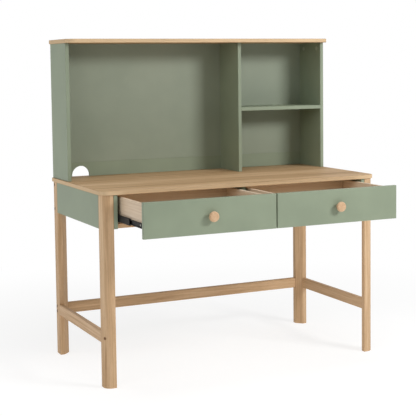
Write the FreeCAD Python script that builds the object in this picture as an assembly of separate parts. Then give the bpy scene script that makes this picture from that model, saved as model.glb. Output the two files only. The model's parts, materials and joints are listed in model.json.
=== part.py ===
import FreeCAD, Part
import math
import os

# A student's writing desk with two drawers and a hutch on its back half.
# Millimetres.  X runs to the user's right, Y away from the user, Z up.
# The origin is on the floor, under the middle of the object with both drawers pulled part way out.

V = FreeCAD.Vector

# ---- driving sizes -------------------------------------------------------------------------

worktop_width = 1200.0
worktop_depth = 600.0
worktop_thickness = 16.0
worktop_height = 742.0            # top surface above the floor
worktop_corner_radius = 36.0      # front corners, in plan
worktop_arris = 1.2               # eased edge, top and bottom

leg_width = 45.0                  # each outer face of the five-sided section
leg_end_width = 20.0              # flat ends that the rails meet; a slanted inner face joins them
leg_side_inset = 6.0              # from the worktop's side edge
leg_front_inset = 6.0             # from the worktop's front edge
leg_back_inset = 0.0
leg_corner_radius = 30.0          # rounded outer corner of the front legs
leg_arris = 2.0                   # other long corners of a leg
leg_foot_chamfer = 1.5

apron_height = 127.0
apron_thickness = 15.0

case_board = 15.0                 # drawer case sides and partition
case_rail_depth = 60.0            # flat rail under the drawers
case_rail_thickness = 16.0

stretcher_height = 45.0
stretcher_thickness = 18.0
stretcher_floor_gap = 168.5

hutch_board = 15.0
hutch_side_height = 552.0
hutch_side_depth = 198.0
hutch_side_inset = 5.0            # from the worktop's side edge
hutch_top_thickness = 16.0
hutch_top_overhang = 44.0         # in front of the hutch sides
hutch_corner_radius = 36.0
right_bay_width = 393.0
shelf_thickness = 15.0
shelf_clear_height = 261.0        # worktop to underside of shelf
back_panel_thickness = 3.0
back_panel_groove = 5.0           # depth of the groove that holds the panel
back_panel_inset = 18.0           # from the hutch's back edges to the panel's back face
back_rail_height = 64.0
back_rail_thickness = 15.0
cable_notch_width = 78.0
cable_notch_height = 44.0
cable_notch_from_side = 100.0     # inside of the left hutch side to the notch's middle

front_thickness = 15.0            # drawer fronts
front_height = 130.0
front_edge_radius = 1.5
front_side_gap = 1.5              # beside each front
front_middle_gap = 5.0            # between the two fronts
front_top_gap = 2.0               # under the worktop

box_board = 12.0                  # drawer box sides and back
box_side_height = 88.0
box_top_drop = 8.0                # from the front's top edge to the box's top edge
box_bottom_thickness = 3.0
box_bottom_lift = 3.0             # under the drawer bottom
box_bottom_groove = 5.0

slide_thickness = 12.7            # from the case wall to the drawer's side
slide_length = 350.0
slide_setback = 2.0               # behind the drawer front
slide_above_box_bottom = 9.5      # from the box's lower edge to the slide's middle
slide_steel = 1.2                 # case and drawer members
middle_steel = 1.0
ball_radius = 1.6
ball_gap = 0.15                   # between a ball and its race
outer_ball = (5.2, 14.4)          # ball rows in the slide's own section: from the wall, above the middle
inner_ball = (7.3, 10.2)
middle_web = 3.6                  # middle of the middle member's web, from the wall
channel_bend = 1.5                # run of each bend of the rolled steel
middle_lip = 10.1                 # where the middle member's lip ends, above the slide's middle
retainer_length = 110.0
retainer_width = 3.6
retainer_thickness = 0.8
retainer_gap = 0.35               # from the lip that it runs along
retainer_end_gap = 15.0

open_at_rest = 250.0              # how far both drawers stand out

knob_diameter = 39.0
knob_foot_diameter = 20.0
knob_waist_diameter = 15.0
knob_face_diameter = 26.0         # flat middle of the face
knob_length = 26.0
knob_edge_depth = 7.5             # rounding from the rim to the face, measured along the knob
knob_rim_width = 1.5              # straight part of the rim
knob_flare_depth = 8.5            # from the waist to the rim, measured along the knob
knob_curve_steps = 3              # rings that each of the knob's two curves is drawn with
knob_screw_diameter = 4.0
knob_screw_head_diameter = 9.0
knob_screw_head_height = 2.6
knob_screw_engagement = 14.0

bolt_diameter = 6.0
bolt_head_diameter = 13.0
bolt_head_height = 3.0
bolt_head_recess = 1.0            # head below the leg's surface
bolt_key_size = 4.0               # across the flats of the socket
bolt_reach = 30.0                 # into the rail
barrel_nut_diameter = 10.0
nut_sink = 0.5                    # below the rail's back face
apron_bolt_spacing = 100.0
stretcher_bolt_spacing = 21.0

cam_diameter = 15.0
cam_depth = 12.5                  # of its hole in the board
cam_from_joint = 25.0             # from the joint to the cam's middle
cam_from_front = 33.0             # from the board's front edge
cam_slot_width = 1.6
cam_slot_depth = 3.0
cam_pin_diameter = 6.0
cam_pin_head = 3.0
cam_pin_waist = 3.5
cam_pin_engagement = 11.0         # thread in the board above
cam_cap_diameter = 17.0
cam_cap_height = 1.2
cam_cap_sink = 1.5                # from the board's face to the cam

dowel_diameter = 8.0
dowel_length = 32.0
dowel_edge_distance = 12.0

slide_screw_diameter = 3.5
slide_screw_head_diameter = 6.4
slide_screw_head_height = 1.4
slide_screw_length = 8.0
slide_screws_per_member = 2

board_arris = 0.8                 # broken edges of flat boards
peg_sides = 8                     # flats that a small hidden pin or its hole is drawn with
head_sides = 12                   # the same for a head or cap that shows
knob_sides = 36                   # the same for a knob
hole_clearance = 0.2              # round a pin, bolt or dowel
slip_fit = 0.3                    # round a panel in its groove

# ---- places worked out from the sizes -------------------------------------------------------

overall_depth = worktop_depth - leg_front_inset + open_at_rest + knob_length
back = overall_depth / 2
worktop_front = back - worktop_depth
worktop_underside = worktop_height - worktop_thickness
worktop_side = worktop_width / 2

leg_outer = worktop_side - leg_side_inset
leg_inner = leg_outer - leg_width
leg_front = worktop_front + leg_front_inset
leg_back = back - leg_back_inset
front_leg_end = leg_front + leg_width
rear_leg_end = leg_back - leg_width

apron_bottom = worktop_underside - apron_height
back_apron_front = leg_back - apron_thickness
stretcher_top = stretcher_floor_gap + stretcher_height
back_stretcher_front = leg_back - leg_end_width

case_outer = leg_inner
case_inner = case_outer - case_board
case_rail_top = apron_bottom + case_rail_thickness
case_opening = case_inner - case_board / 2          # case side to partition

front_top = worktop_underside - front_top_gap
front_bottom = front_top - front_height
front_width = case_inner - front_side_gap - front_middle_gap / 2
closed_front_back = leg_front + front_thickness     # inner face of a closed drawer front
front_centre = (case_inner - front_side_gap + front_middle_gap / 2) / 2

box_width = case_opening - 2 * slide_thickness
box_centre = (case_inner + case_board / 2) / 2
box_top = front_top - box_top_drop
box_bottom = box_top - box_side_height
box_side_length = slide_length
slide_level = box_bottom + slide_above_box_bottom
bottom_panel_underside = box_bottom + box_bottom_lift

hutch_outer = worktop_side - hutch_side_inset
hutch_inner = hutch_outer - hutch_board
hutch_front = back - hutch_side_depth
hutch_top_front = hutch_front - hutch_top_overhang
hutch_side_top = worktop_height + hutch_side_height
back_panel_back = back - back_panel_inset
back_panel_front = back_panel_back - back_panel_thickness
divider_right = hutch_inner - right_bay_width
divider_left = divider_right - hutch_board
shelf_underside = worktop_height + shelf_clear_height
back_rail_top = worktop_height + back_rail_height
notch_centre = -hutch_inner + cable_notch_from_side


# ---- small helpers --------------------------------------------------------------------------

def block(x0, x1, y0, y1, z0, z1):
    """Box between two corners, whichever way round they are given."""
    low = V(min(x0, x1), min(y0, y1), min(z0, z1))
    return Part.makeBox(abs(x1 - x0), abs(y1 - y0), abs(z1 - z0), low)


def board(x0, x1, y0, y1, z0, z1):
    """Flat board with its edges lightly broken."""
    plain = block(x0, x1, y0, y1, z0, z1)
    return plain.makeChamfer(board_arris, plain.Edges)


def rod(radius, start, direction, length, sides):
    """Round pin along X, Y or Z, drawn as a prism that is as wide across its flats as the pin."""
    across = V(direction.z, direction.x, direction.y)
    up = direction.cross(across)
    corner = radius / math.cos(math.pi / sides)
    points = []
    for k in range(sides + 1):
        turn = 2 * math.pi * (k + 0.5) / sides
        points.append(start + across * (corner * math.cos(turn)) + up * (corner * math.sin(turn)))
    return Part.Face(Part.makePolygon(points)).extrude(direction * length)


def peg(radius, start, direction, length):
    return rod(radius, start, direction, length, peg_sides)


def disc(radius, start, direction, length):
    return rod(radius, start, direction, length, head_sides)


def mirrored(shape):
    """The same piece on the other side of the desk."""
    return shape.mirror(V(0, 0, 0), V(1, 0, 0))


def along(edge, direction):
    """True for a straight edge that runs along the direction."""
    if not isinstance(edge.Curve, (Part.Line, Part.LineSegment)):
        return False
    return abs(edge.tangentAt(edge.FirstParameter).dot(direction)) > 0.999


def middle_of(edge):
    return edge.valueAt((edge.FirstParameter + edge.LastParameter) / 2)


def group(shapes):
    return Part.makeCompound(shapes)


def without(shape, cutters):
    for cutter in cutters:
        shape = shape.cut(cutter)
    return shape


# ---- worktop --------------------------------------------------------------------------------

def round_front_top(width, front, rear, underside, thickness, corner_radius, arris):
    """Board with two rounded front corners and an eased edge on its front and sides."""
    slab = block(-width / 2, width / 2, front, rear, underside, underside + thickness)
    corners = [e for e in slab.Edges if along(e, V(0, 0, 1)) and middle_of(e).y < front + 1]
    slab = slab.makeFillet(corner_radius, corners)
    rim = [e for e in slab.Edges
           if not along(e, V(0, 0, 1)) and middle_of(e).y < rear - 1]
    return slab.makeChamfer(arris, rim)


def make_worktop():
    top = round_front_top(worktop_width, worktop_front, back, worktop_underside,
                          worktop_thickness, worktop_corner_radius, worktop_arris)
    return without(top, [hole_for(d) for d in hutch_dowel_places()])


# ---- legs -----------------------------------------------------------------------------------

def leg_section(outer_x, outer_y, to_x, to_y):
    """Outline on the floor: a square, to_x by to_y, with its inner corner cut off on the slant."""
    end_x = math.copysign(leg_end_width, to_x)
    end_y = math.copysign(leg_end_width, to_y)
    points = [V(outer_x, outer_y, 0),
              V(outer_x + to_x, outer_y, 0),
              V(outer_x + to_x, outer_y + end_y, 0),
              V(outer_x + end_x, outer_y + to_y, 0),
              V(outer_x, outer_y + to_y, 0)]
    return Part.Face(Part.makePolygon(points + points[:1]))


def upright_at(edge, spot):
    """True for a vertical edge that stands at a spot on the plan."""
    middle = middle_of(edge)
    return along(edge, V(0, 0, 1)) and math.hypot(middle.x - spot.x, middle.y - spot.y) < 0.01


def leg(outer_y, to_y, corner_radius):
    """Left leg of solid wood, five-sided in plan; a front leg has a rounded outer corner."""
    outer = V(-leg_outer, outer_y, 0)
    post = leg_section(outer.x, outer.y, leg_width, to_y).extrude(V(0, 0, worktop_underside))
    corner = [e for e in post.Edges if upright_at(e, outer)]
    sharp = [e for e in post.Edges if along(e, V(0, 0, 1)) and not e.isSame(corner[0])]
    if corner_radius > leg_arris:
        post = post.makeChamfer(leg_arris, sharp)
        corner = [e for e in post.Edges if upright_at(e, outer)]
        post = post.makeFillet(corner_radius, corner)
    else:
        post = post.makeChamfer(leg_arris, sharp + corner)
    foot = [e for e in post.Edges if e.BoundBox.ZMax < 0.01]
    return post.makeChamfer(leg_foot_chamfer, foot)


def rail_bolt_levels():
    """Heights of the bolts through each rear leg, two for the apron and two for the stretcher."""
    apron_middle = (apron_bottom + worktop_underside) / 2
    stretcher_middle = stretcher_floor_gap + stretcher_height / 2
    return [apron_middle - apron_bolt_spacing / 2, apron_middle + apron_bolt_spacing / 2,
            stretcher_middle - stretcher_bolt_spacing / 2, stretcher_middle + stretcher_bolt_spacing / 2]


def bolt_line_y():
    """The bolts run through the middle of the rear leg's flat end."""
    return leg_back - leg_end_width / 2


def bolt_hole(level):
    """Stepped hole for one bolt, from the left leg's outer face into the rail."""
    head = disc(bolt_head_diameter / 2 + hole_clearance, V(-leg_outer - 1, bolt_line_y(), level), V(1, 0, 0),
                1 + bolt_head_recess + bolt_head_height)
    shank = peg(bolt_diameter / 2 + hole_clearance, V(-leg_outer, bolt_line_y(), level), V(1, 0, 0),
                leg_width + bolt_reach + hole_clearance)
    return head.fuse(shank)


def nut_hole(level, rail_back, rail_thickness):
    """Cross hole for a barrel nut, open at the back of the rail."""
    return peg(barrel_nut_diameter / 2 + hole_clearance,
               V(-leg_inner + nut_from_end(), rail_back + 1, level), V(0, -1, 0),
               1 + nut_length(rail_thickness))


def nut_from_end():
    return bolt_reach - barrel_nut_diameter * 0.7


def nut_length(rail_thickness):
    return rail_thickness * 0.8


def make_front_leg():
    shape = leg(leg_front, leg_width, leg_corner_radius)
    return without(shape, [hole_for(d) for d in side_frame_dowel_places()])


def make_rear_leg():
    shape = leg(leg_back, -leg_width, leg_arris)
    holes = [bolt_hole(level) for level in rail_bolt_levels()]
    return without(shape, holes + [hole_for(d) for d in side_frame_dowel_places()])


# ---- rails and stretchers -------------------------------------------------------------------

def dowel(start, direction):
    """Place of one wooden dowel: it reaches half its length into each of two pieces."""
    return (start, direction)


def dowel_pin(place):
    joint, direction = place
    return peg(dowel_diameter / 2, joint - direction * (dowel_length / 2), direction, dowel_length)


def hole_for(place):
    joint, direction = place
    depth = dowel_length + 2 * hole_clearance
    return peg(dowel_diameter / 2 + hole_clearance, joint - direction * (depth / 2), direction, depth)


def side_frame_dowel_places():
    """Dowels that join the left apron and stretcher to the left legs, two in each joint."""
    places = []
    spans = [(apron_bottom, worktop_underside, -leg_outer + apron_thickness / 2),
             (stretcher_floor_gap, stretcher_top, -leg_outer + stretcher_thickness / 2)]
    for low, high, x in spans:
        for level in (low + dowel_edge_distance, high - dowel_edge_distance):
            places.append(dowel(V(x, front_leg_end, level), V(0, 1, 0)))
            places.append(dowel(V(x, rear_leg_end, level), V(0, 1, 0)))
    return places


def make_side_apron():
    apron = board(-leg_outer, -leg_outer + apron_thickness, front_leg_end, rear_leg_end,
                  apron_bottom, worktop_underside)
    return without(apron, [hole_for(d) for d in side_frame_dowel_places()])


def soft_bar(x0, x1, y0, y1, z0, z1, grain):
    """Solid wood bar with its long corners eased."""
    bar = block(x0, x1, y0, y1, z0, z1)
    return bar.makeChamfer(leg_arris, [e for e in bar.Edges if along(e, grain)])


def make_side_stretcher():
    bar = soft_bar(-leg_outer, -leg_outer + stretcher_thickness, front_leg_end, rear_leg_end,
                   stretcher_floor_gap, stretcher_top, V(0, 1, 0))
    return without(bar, [hole_for(d) for d in side_frame_dowel_places()])


def with_bolt_holes(rail, levels, rail_back, thickness):
    """Rail with bolt and barrel-nut holes in both ends."""
    cutters = []
    for level in levels:
        for cutter in (bolt_hole(level), nut_hole(level, rail_back, thickness)):
            cutters.extend([cutter, mirrored(cutter)])
    return without(rail, cutters)


def make_back_apron():
    rail = board(-leg_inner, leg_inner, back_apron_front, leg_back, apron_bottom, worktop_underside)
    return with_bolt_holes(rail, rail_bolt_levels()[:2], leg_back, apron_thickness)


def make_back_stretcher():
    rear = back_stretcher_front + stretcher_thickness
    bar = soft_bar(-leg_inner, leg_inner, back_stretcher_front, rear,
                   stretcher_floor_gap, stretcher_top, V(1, 0, 0))
    return with_bolt_holes(bar, rail_bolt_levels()[2:], rear, stretcher_thickness)


def hex_socket(centre, depth):
    """Hexagonal key socket, sunk along X from the centre point."""
    corner = bolt_key_size / math.sqrt(3)
    points = [centre + V(0, corner * math.cos(math.radians(60 * k)), corner * math.sin(math.radians(60 * k)))
              for k in range(7)]
    return Part.Face(Part.makePolygon(points)).extrude(V(depth, 0, 0))


def make_frame_bolt(level):
    """Flat-headed bolt in a rear leg, its head sunk in the leg's outer face."""
    face = V(-leg_outer + bolt_head_recess, bolt_line_y(), level)
    head = disc(bolt_head_diameter / 2, face, V(1, 0, 0), bolt_head_height)
    shank = peg(bolt_diameter / 2, face, V(1, 0, 0), leg_width + bolt_reach - bolt_head_recess)
    return head.fuse(shank).removeSplitter().cut(hex_socket(face, bolt_head_height * 0.8))


def make_frame_bolts():
    bolts = [make_frame_bolt(level) for level in rail_bolt_levels()]
    return group(bolts + [mirrored(b) for b in bolts])


def make_barrel_nuts():
    """Cross dowels in the back apron and back stretcher, each drilled for its bolt."""
    nuts = []
    backs = [(leg_back, apron_thickness)] * 2
    backs += [(back_stretcher_front + stretcher_thickness, stretcher_thickness)] * 2
    for level, (rail_back, thickness) in zip(rail_bolt_levels(), backs):
        x = -leg_inner + nut_from_end()
        nut = peg(barrel_nut_diameter / 2, V(x, rail_back - nut_sink, level), V(0, -1, 0),
                  nut_length(thickness) - nut_sink - hole_clearance)
        through = peg(bolt_diameter / 2 + hole_clearance, V(x - barrel_nut_diameter, bolt_line_y(), level),
                      V(1, 0, 0), 2 * barrel_nut_diameter)
        nuts.append(nut.cut(through))
    return group(nuts + [mirrored(n) for n in nuts])


# ---- drawer case ----------------------------------------------------------------------------

def make_case_side():
    side = board(-case_outer, -case_inner, leg_front, back_apron_front, apron_bottom, worktop_underside)
    return without(side, [screw_hole(s) for s in slide_screws("left", "outer", "case")])


def make_partition():
    wall = board(-case_board / 2, case_board / 2, closed_front_back + slide_setback, back_apron_front,
                 case_rail_top, worktop_underside)
    holes = [screw_hole(s) for s in slide_screws("left", "inner", "case")]
    holes += [screw_hole(s) for s in slide_screws("right", "inner", "case")]
    return without(wall, holes)


def make_case_rail():
    front = closed_front_back + slide_setback
    return board(-case_inner, case_inner, front, front + case_rail_depth, apron_bottom, case_rail_top)


# ---- telescopic slides ----------------------------------------------------------------------
# A slide is drawn in its own section: s is the distance from the case wall towards the drawer,
# h the height above the slide's middle.  Three rolled steel channels run inside each other on
# four rows of balls, and each channel is bent round its ball rows in facets of 45 degrees.

def beside(start, end):
    """Unit direction at right angles to a leg of a section path."""
    return V(0, 0, 1).cross(end.sub(start)).normalize()


def sheet_outline(path, thickness):
    """Closed outline of sheet steel bent along a path in the plane, with mitred corners."""
    sides = [[], []]
    for k, point in enumerate(path):
        near = beside(path[max(k - 1, 0)], path[max(k, 1)])
        far = beside(path[min(k, len(path) - 2)], path[min(k + 1, len(path) - 1)])
        mitre = near.add(far).normalize()
        reach = mitre * (thickness / 2 / mitre.dot(near))
        sides[0].append(point + reach)
        sides[1].append(point - reach)
    return sides[0] + sides[1][::-1]


def rolled_channel(upper_path, thickness):
    """Channel that is the same above and below its middle; the path gives its upper half."""
    upper = [V(s, h, 0) for s, h in upper_path]
    lower = [V(point.x, -point.y, 0) for point in reversed(upper)]
    flat = [V(point.x, 0, point.y) for point in sheet_outline(lower + upper, thickness)]
    return Part.Face(Part.makePolygon(flat + flat[:1])).extrude(V(0, slide_length, 0))


def race(thickness):
    """From a ball's middle to the middle of the steel that carries it."""
    return ball_radius + ball_gap + thickness / 2


def race_corner(thickness):
    """Half of one facet of a race."""
    return race(thickness) * math.tan(math.radians(22.5))


def case_member_path():
    """Web on the case wall, flange over the outer balls, and a lip round them."""
    s, h = outer_ball
    web = slide_steel / 2
    top = h + race(slide_steel)
    lip = s + race(slide_steel)
    facet = race_corner(slide_steel)
    return [(web, top - channel_bend), (web + channel_bend, top),
            (s + facet, top), (lip, h + facet), (lip, h - ball_radius / 2)]


def middle_member_path():
    """Web, flange that carries the outer balls on its back, and a lip round the inner balls."""
    outer_s, outer_h = outer_ball
    s, h = inner_ball
    bed = outer_h - race(middle_steel)
    top = h + race(middle_steel)
    lip = s + race(middle_steel)
    crest = s - race_corner(middle_steel)
    return [(middle_web, bed - channel_bend / 2), (middle_web + channel_bend / 2, bed),
            (crest - (top - bed), bed), (crest, top),
            (s + race_corner(middle_steel), top), (lip, h + race_corner(middle_steel)), (lip, middle_lip)]


def drawer_member_path():
    """Web on the drawer's side, and a flange with a groove for the inner balls."""
    s, h = inner_ball
    web = slide_thickness - slide_steel / 2
    bed = h - race(slide_steel)
    groove = race_corner(slide_steel)
    ridge = bed + groove
    return [(web, ridge - channel_bend / 2), (web - channel_bend / 2, ridge),
            (s + 2 * groove + channel_bend / 3, ridge), (s + groove + channel_bend / 3, bed),
            (s - groove, bed), (s - 2 * groove, ridge)]


def place_slide(shape, drawer, side, shift):
    """Move a piece from the section's own axes to its wall; shift is its travel towards the user."""
    shape = shape.copy()
    if side == "inner":
        shape = mirrored(shape)
        wall = -case_board / 2
    else:
        wall = -case_inner
    shape.translate(V(wall, closed_front_back + slide_setback - shift, slide_level))
    if drawer == "right":
        shape = mirrored(shape)
    return shape


def screw_positions():
    """Distances along a slide member of its mounting screws."""
    first = slide_length * 0.1
    last = slide_length * 0.9
    step = (last - first) / (slide_screws_per_member - 1)
    return [first + step * k for k in range(slide_screws_per_member)]


def slide_screws(drawer, side, member):
    """Start point, direction and owner of each screw that holds a member to its wall or drawer."""
    found = []
    for run in screw_positions():
        if member == "case":
            spot = (slide_steel, run, -1.0)
            shift = 0.0
        else:
            spot = (slide_thickness - slide_steel, run, 1.0)
            shift = open_at_rest
        found.append((spot, drawer, side, shift))
    return found


def screw_body(spot, extra):
    """Flat-headed screw seen in section; extra widens it to a clearance hole."""
    s, run, way = spot
    direction = V(way, 0, 0)
    top = V(s, run, 0) - direction * slide_screw_head_height
    head = peg(slide_screw_head_diameter / 2 + extra, top, direction, slide_screw_head_height)
    shank = peg(slide_screw_diameter / 2 + extra, top, direction,
                slide_screw_head_height + slide_screw_length + extra)
    return head, shank


def screw_hole(screw):
    spot, drawer, side, shift = screw
    return place_slide(screw_body(spot, hole_clearance)[1], drawer, side, shift)


def make_screw(screw):
    spot, drawer, side, shift = screw
    head, shank = screw_body(spot, 0.0)
    return place_slide(head.fuse(shank).removeSplitter(), drawer, side, shift)


def member_holes(spots):
    return [screw_body(spot, hole_clearance)[1] for spot in spots]


def make_case_member(drawer, side):
    """Outer channel, screwed to the wall of the drawer case."""
    shape = rolled_channel(case_member_path(), slide_steel)
    shape = without(shape, member_holes([s[0] for s in slide_screws(drawer, side, "case")]))
    return place_slide(shape, drawer, side, 0.0)


def make_middle_member(drawer, side):
    """Middle channel, which travels half as far as the drawer."""
    shape = rolled_channel(middle_member_path(), middle_steel)
    return place_slide(shape, drawer, side, open_at_rest / 2)


def make_drawer_member(drawer, side):
    """Inner channel, screwed to the drawer's side."""
    shape = rolled_channel(drawer_member_path(), slide_steel)
    shape = without(shape, member_holes([s[0] for s in slide_screws(drawer, side, "drawer")]))
    return place_slide(shape, drawer, side, open_at_rest)


def retainer(ball, start):
    """Steel strips that space one pair of ball rows, above and below the slide's middle."""
    s, h = ball
    far = s + ball_radius + ball_gap - retainer_gap
    strip = block(far - retainer_width, far, start, start + retainer_length,
                  h - retainer_thickness / 2, h + retainer_thickness / 2)
    return [strip, strip.mirror(V(0, 0, 0), V(0, 0, 1))]


def make_retainers(drawer, side):
    """Ball retainers of one slide: the outer pair runs at its rear, the inner pair at its front."""
    outer = retainer(outer_ball, slide_length - retainer_length - retainer_end_gap)
    inner = retainer(inner_ball, retainer_end_gap)
    return place_slide(group(outer + inner), drawer, side, open_at_rest / 2)


# ---- drawers --------------------------------------------------------------------------------
# Drawn for the left drawer, pulled out by open_at_rest; the right one is its mirror image.

front_inner_face = closed_front_back - open_at_rest
front_outer_face = front_inner_face - front_thickness
box_rear = front_inner_face + box_side_length


def make_drawer_front():
    left = -front_centre - front_width / 2
    panel = block(left, left + front_width, front_outer_face, front_inner_face, front_bottom, front_top)
    outer = [e for e in panel.Edges if e.BoundBox.YMax < front_outer_face + 0.01]
    panel = panel.makeFillet(front_edge_radius, outer)
    groove = block(-box_centre - box_width / 2 + box_board - box_bottom_groove,
                   -box_centre + box_width / 2 - box_board + box_bottom_groove,
                   front_inner_face - box_bottom_groove, front_inner_face + 1,
                   bottom_panel_underside - slip_fit / 2,
                   bottom_panel_underside + box_bottom_thickness + slip_fit / 2)
    hole = peg(knob_screw_diameter / 2 + hole_clearance, V(-front_centre, front_outer_face - 1, knob_level()),
               V(0, 1, 0), front_thickness + 2)
    return panel.cut(groove).cut(hole)


def knob_level():
    return (front_bottom + front_top) / 2


def make_drawer_side(side):
    """One long side of the box, grooved for the bottom; side is 'outer' or 'inner'."""
    if side == "outer":
        outer_face = -box_centre - box_width / 2
        way = 1.0
    else:
        outer_face = -box_centre + box_width / 2
        way = -1.0
    inner_face = outer_face + way * box_board
    wall = board(outer_face, inner_face, front_inner_face, box_rear, box_bottom, box_top)
    groove = block(inner_face - way * box_bottom_groove, inner_face + way, front_inner_face - 1, box_rear + 1,
                   bottom_panel_underside - slip_fit / 2,
                   bottom_panel_underside + box_bottom_thickness + slip_fit / 2)
    holes = [screw_hole(s) for s in slide_screws("left", side, "drawer")]
    return without(wall, [groove] + holes)


def make_drawer_back():
    half = box_width / 2 - box_board
    return board(-box_centre - half, -box_centre + half, box_rear - box_board, box_rear,
                 bottom_panel_underside + box_bottom_thickness, box_top)


def make_drawer_bottom():
    half = box_width / 2 - box_board + box_bottom_groove - slip_fit
    return block(-box_centre - half, -box_centre + half, front_inner_face - box_bottom_groove + slip_fit,
                 box_rear, bottom_panel_underside, bottom_panel_underside + box_bottom_thickness)


def knob_outline():
    """Half outline of the knob, from foot to face: distance from its axis and distance out."""
    waist = knob_waist_diameter / 2
    wide = knob_diameter / 2
    face = knob_face_diameter / 2
    rim_front = knob_length - knob_edge_depth
    rim_back = rim_front - knob_rim_width
    flare = []
    edge = []
    for k in range(knob_curve_steps + 1):
        turn = math.pi / 2 * k / knob_curve_steps
        flare.append((wide - (wide - waist) * math.cos(turn),
                      rim_back - knob_flare_depth * (1 - math.sin(turn))))
        edge.append((face + (wide - face) * math.cos(turn), rim_front + knob_edge_depth * math.sin(turn)))
    return [(knob_foot_diameter / 2, 0)] + flare + edge


def turned(outline, sides):
    """Turned piece that stands out along -Y from its half outline, drawn with flats."""
    rings = []
    for radius, out in outline:
        corner = radius / math.cos(math.pi / sides)
        turns = [2 * math.pi * (k + 0.5) / sides for k in range(sides)]
        rings.append([V(corner * math.cos(t), -out, corner * math.sin(t)) for t in turns])
    faces = [Part.Face(Part.makePolygon(ring + ring[:1])) for ring in (rings[0], rings[-1])]
    for near, far in zip(rings, rings[1:]):
        for k in range(sides):
            strip = [near[k - 1], near[k], far[k], far[k - 1], near[k - 1]]
            faces.append(Part.Face(Part.makePolygon(strip)))
    piece = Part.makeSolid(Part.makeShell(faces))
    if piece.Volume < 0:
        piece.reverse()
    return piece


def make_knob():
    """Turned wooden knob: a waisted neck that flares to a thin rim, rounded over to a flat face."""
    knob = turned(knob_outline(), knob_sides)
    socket = peg(knob_screw_diameter / 2 + hole_clearance, V(0, 1, 0), V(0, -1, 0),
                 1 + knob_screw_engagement + hole_clearance)
    knob = knob.cut(socket)
    knob.translate(V(-front_centre, front_outer_face, knob_level()))
    return knob


def make_knob_screw():
    """Screw from inside the drawer, through the front into the knob."""
    head_at = V(-front_centre, front_inner_face, knob_level())
    head = disc(knob_screw_head_diameter / 2, head_at, V(0, 1, 0), knob_screw_head_height)
    shank = peg(knob_screw_diameter / 2, head_at, V(0, -1, 0), front_thickness + knob_screw_engagement)
    return head.fuse(shank).removeSplitter()


# ---- hutch ----------------------------------------------------------------------------------

def back_panel_slot(x0, x1, z0, z1):
    return block(x0, x1, back_panel_front - slip_fit / 2, back_panel_back + slip_fit / 2, z0, z1)


def hutch_dowel_places():
    """Dowels that stand in the worktop under the hutch sides and divider."""
    places = []
    walls = [-hutch_outer + hutch_board / 2, hutch_outer - hutch_board / 2, divider_left + hutch_board / 2]
    short = V(0, 0, 1)
    for x in walls:
        for y in (hutch_front + 3 * dowel_edge_distance, back_panel_front - 2 * dowel_edge_distance):
            places.append((V(x, y, worktop_height + hutch_dowel_lift()), short))
    return places


def hutch_dowel_lift():
    """Raises the dowels so that they stop short of the worktop's underside."""
    return dowel_length / 2 - worktop_thickness * 0.7


def cam_places():
    """Middle of each cam's mouth on the left hutch side, near the top edge, front and back."""
    level = hutch_side_top - cam_from_joint
    return [V(-hutch_inner, hutch_front + cam_from_front, level),
            V(-hutch_inner, back_panel_front - cam_from_front, level)]


def all_cam_places():
    """Cam mouths with the direction each one looks: left side, divider and right side."""
    places = [(spot, V(1, 0, 0)) for spot in cam_places()]
    places += [(V(divider_right, spot.y, spot.z), V(1, 0, 0)) for spot in cam_places()]
    places += [(V(hutch_inner, spot.y, spot.z), V(-1, 0, 0)) for spot in cam_places()]
    return places


def pin_line(place):
    """Foot of a cam's pin, in the middle of the board's thickness."""
    mouth, outward = place
    return mouth - outward * (hutch_board / 2)


def cam_hole(place):
    mouth, outward = place
    return disc(cam_diameter / 2 + hole_clearance, mouth + outward, -outward, 1 + cam_depth + hole_clearance)


def pin_hole(place):
    reach = cam_from_joint + cam_pin_engagement + hole_clearance
    return peg(cam_pin_diameter / 2 + hole_clearance, pin_line(place), V(0, 0, 1), reach)


def cam_lock(place):
    """Round cast cam with a mouth for the pin's head and a cross slot for the driver."""
    mouth, outward = place
    top = mouth - outward * cam_cap_sink
    body = disc(cam_diameter / 2, top, -outward, cam_depth - cam_cap_sink)
    mouth_slot = peg(cam_pin_diameter / 2 + 2 * hole_clearance, pin_line(place) - V(0, 0, cam_diameter / 4),
                     V(0, 0, 1), cam_diameter)
    half = cam_diameter * 0.3
    width = cam_slot_width / 2
    deep = mouth.x - outward.x * (cam_cap_sink + cam_slot_depth)
    bars = [block(top.x + outward.x, deep, mouth.y - half, mouth.y + half, mouth.z - width, mouth.z + width),
            block(top.x + outward.x, deep, mouth.y - width, mouth.y + width, mouth.z - half, mouth.z + half)]
    return without(body, [mouth_slot] + bars)


def cam_pin(place):
    """Steel pin from the board above, with a waist and a head that the cam grips."""
    foot = pin_line(place) - V(0, 0, cam_pin_diameter / 4)
    length = cam_from_joint + cam_pin_diameter / 4 + cam_pin_engagement
    pin = peg(cam_pin_diameter / 2, foot, V(0, 0, 1), length)
    waist = peg(cam_pin_diameter, foot + V(0, 0, cam_pin_head), V(0, 0, 1), cam_pin_waist)
    core = peg(cam_pin_diameter * 0.3, foot, V(0, 0, 1), length)
    return pin.cut(waist).fuse(core).removeSplitter()


def cam_cap(place):
    """Thin plastic cap that covers a cam, its plug pressed into the cam's hole."""
    mouth, outward = place
    plate = disc(cam_cap_diameter / 2, mouth, outward, cam_cap_height)
    plug = disc(cam_diameter / 2, mouth, -outward, cam_cap_sink - hole_clearance)
    return plate.fuse(plug).removeSplitter()


def cam_holes():
    return [hole(place) for place in all_cam_places() for hole in (cam_hole, pin_hole)]


def make_hutch_side():
    wall = board(-hutch_outer, -hutch_inner, hutch_front, back, worktop_height, hutch_side_top)
    slot = back_panel_slot(-hutch_inner - back_panel_groove, -hutch_inner + 1, worktop_height - 1,
                           hutch_side_top + 1)
    return without(wall, [slot] + [hole_for(d) for d in hutch_dowel_places()] + cam_holes())


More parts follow.
